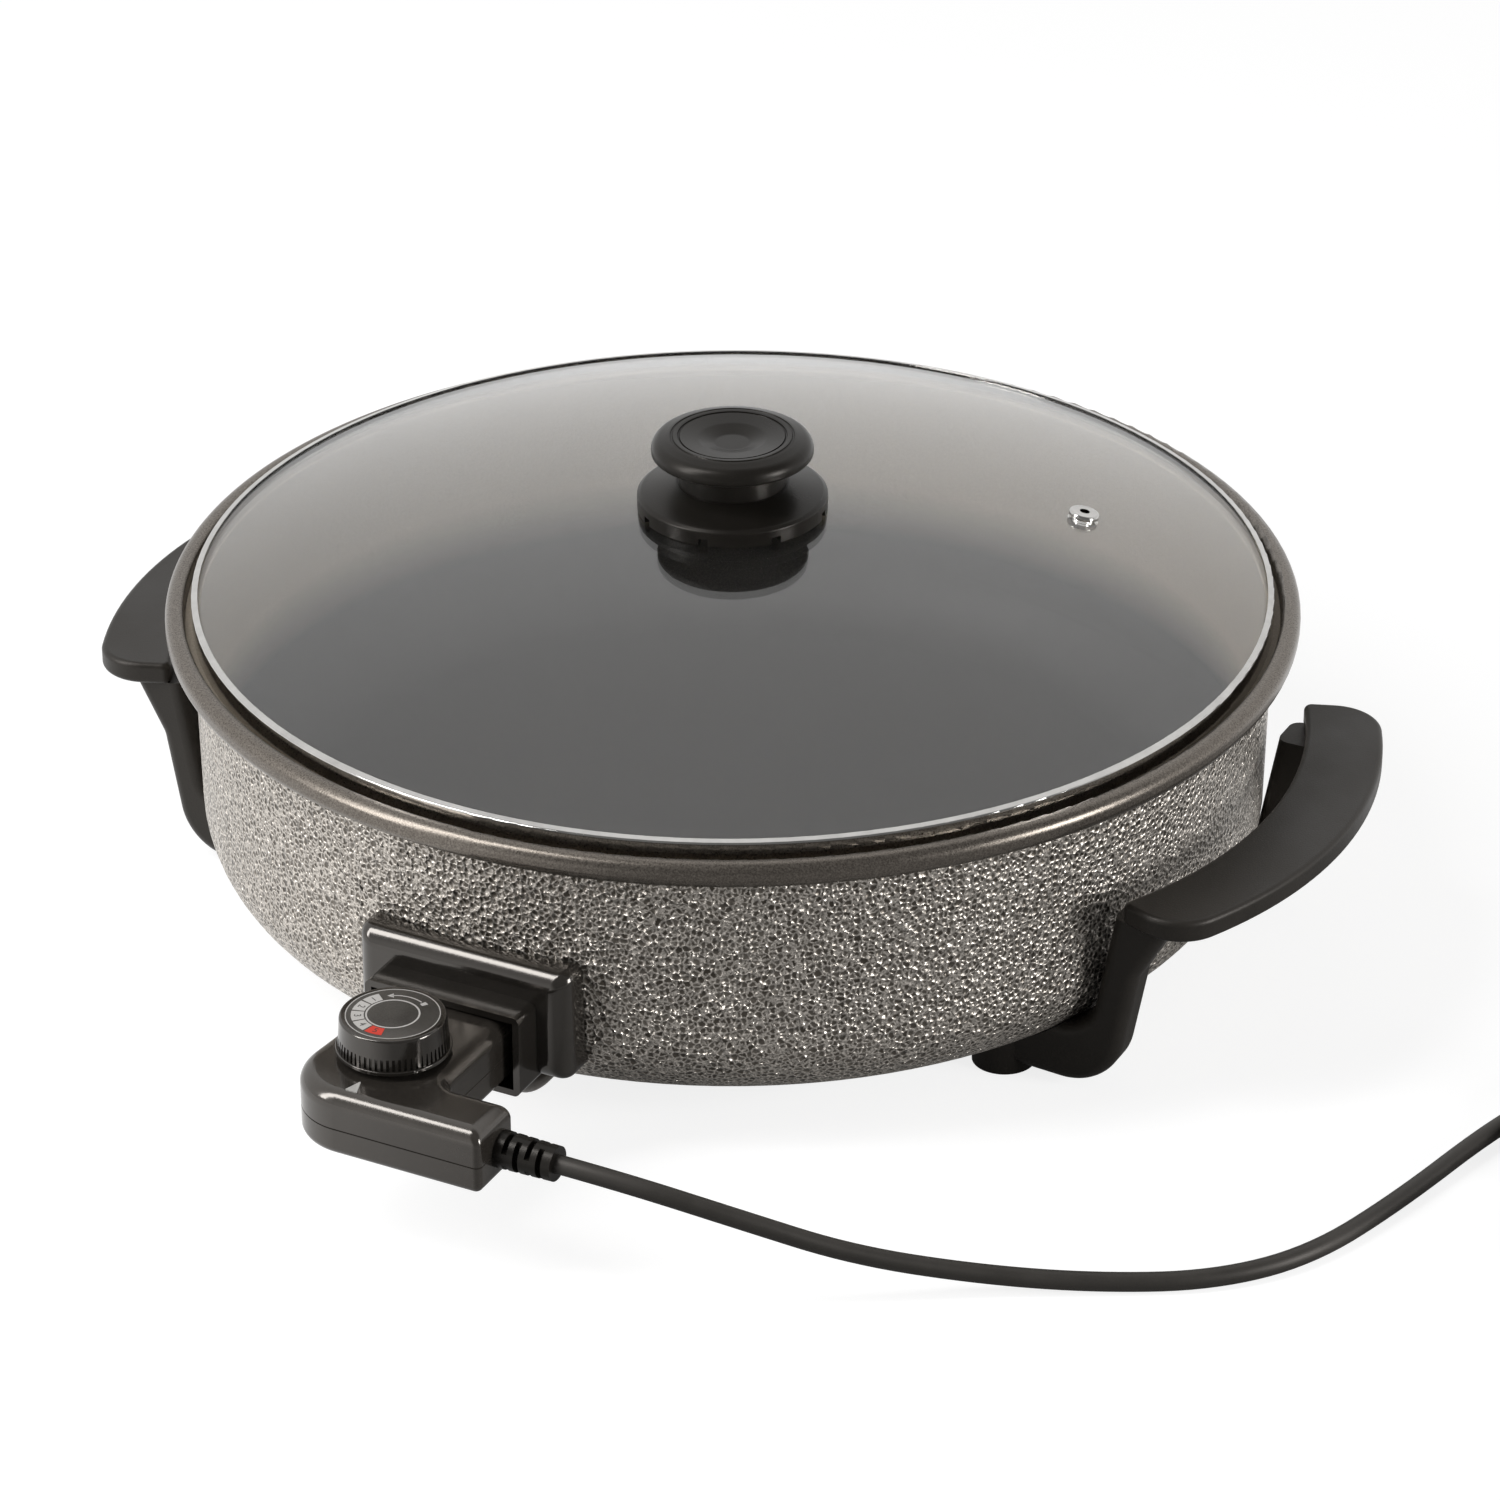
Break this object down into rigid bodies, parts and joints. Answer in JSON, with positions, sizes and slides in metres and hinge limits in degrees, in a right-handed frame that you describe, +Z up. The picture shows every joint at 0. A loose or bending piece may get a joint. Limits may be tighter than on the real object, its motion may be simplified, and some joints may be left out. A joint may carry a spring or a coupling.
{
  "type": "electric party pan",
  "caption": "Round electric party pan with a domed glass lid, crescent handles on legs, and a plug-in dial controller with its mains lead.",
  "frame": {"origin": "on the pan's axis, on the plane that the feet stand on", "axes": "+X towards the right handle, -Y towards the controller, +Z up"},
  "size_m": [0.6722, 0.4953, 0.1846],
  "materials": {
    "pan_coat": "hammertone coat on cast aluminium",
    "bakelite": "matt moulded bakelite",
    "gloss_black": "glossy black",
    "lid_glass": "clear, lightly tinted",
    "band_steel": "bright rolled steel",
    "fixings": "plated steel",
    "heater_tube": "dull steel tube",
    "contact_brass": "plain",
    "ceramic": "fired ceramic",
    "silicone": "soft",
    "switch_case": "moulded",
    "lens": "milky",
    "lamp": "neon lamp",
    "dial_print": "printed disc",
    "cord_sheath": "matt black",
    "tie": "plastic band",
    "plug_metal": "nickel plated"
  },
  "bodies": {
    "pan": {"pan_body": "pan_coat", "heating_element": "heater_tube", "terminal_pins": "contact_brass", "terminal_insulators": "ceramic", "probe_sleeve": "heater_tube", "socket_housing": "gloss_black", "socket_screws": "fixings", "earth_strip": "fixings", "left_handle": "bakelite", "right_handle": "bakelite", "handle_washers": "fixings", "handle_screws": "fixings"},
    "lid": {"lid_glass": "lid_glass", "lid_band": "band_steel", "vent_eyelet": "band_steel", "lid_knob": "bakelite", "knob_skirt": "bakelite", "knob_seal": "silicone", "knob_washer": "fixings", "knob_screw": "fixings"},
    "controller": {"controller_top": "gloss_black", "controller_bottom": "gloss_black", "controller_screws": "fixings", "pointer_lens": "lens", "pilot_lamp": "lamp", "thermostat": "switch_case", "heat_probe": "heater_tube", "contact_sleeves": "contact_brass", "strain_relief": "cord_sheath", "cord": "cord_sheath", "cord_coil": "cord_sheath", "cord_tie": "tie", "plug_body": "cord_sheath", "plug_pins": "plug_metal", "plug_earth": "plug_metal"},
    "dial": {"dial": "gloss_black", "dial_face": "dial_print", "dial_shaft": "fixings"}
  },
  "joints": [
    {"name": "lid_lift", "type": "slide", "parent": "pan", "child": "lid", "axis": [0, 0, 1], "range_m": [0, 0.15]},
    {"name": "controller_unplug", "type": "slide", "parent": "pan", "child": "controller", "axis": [0, -1, 0], "range_m": [0, 0.08]},
    {"name": "dial_turn", "type": "hinge", "parent": "controller", "child": "dial", "pos_m": [0, -0.25235, 0.06], "axis": [0, 0, 1], "range_deg": [0, 215]}
  ]
}
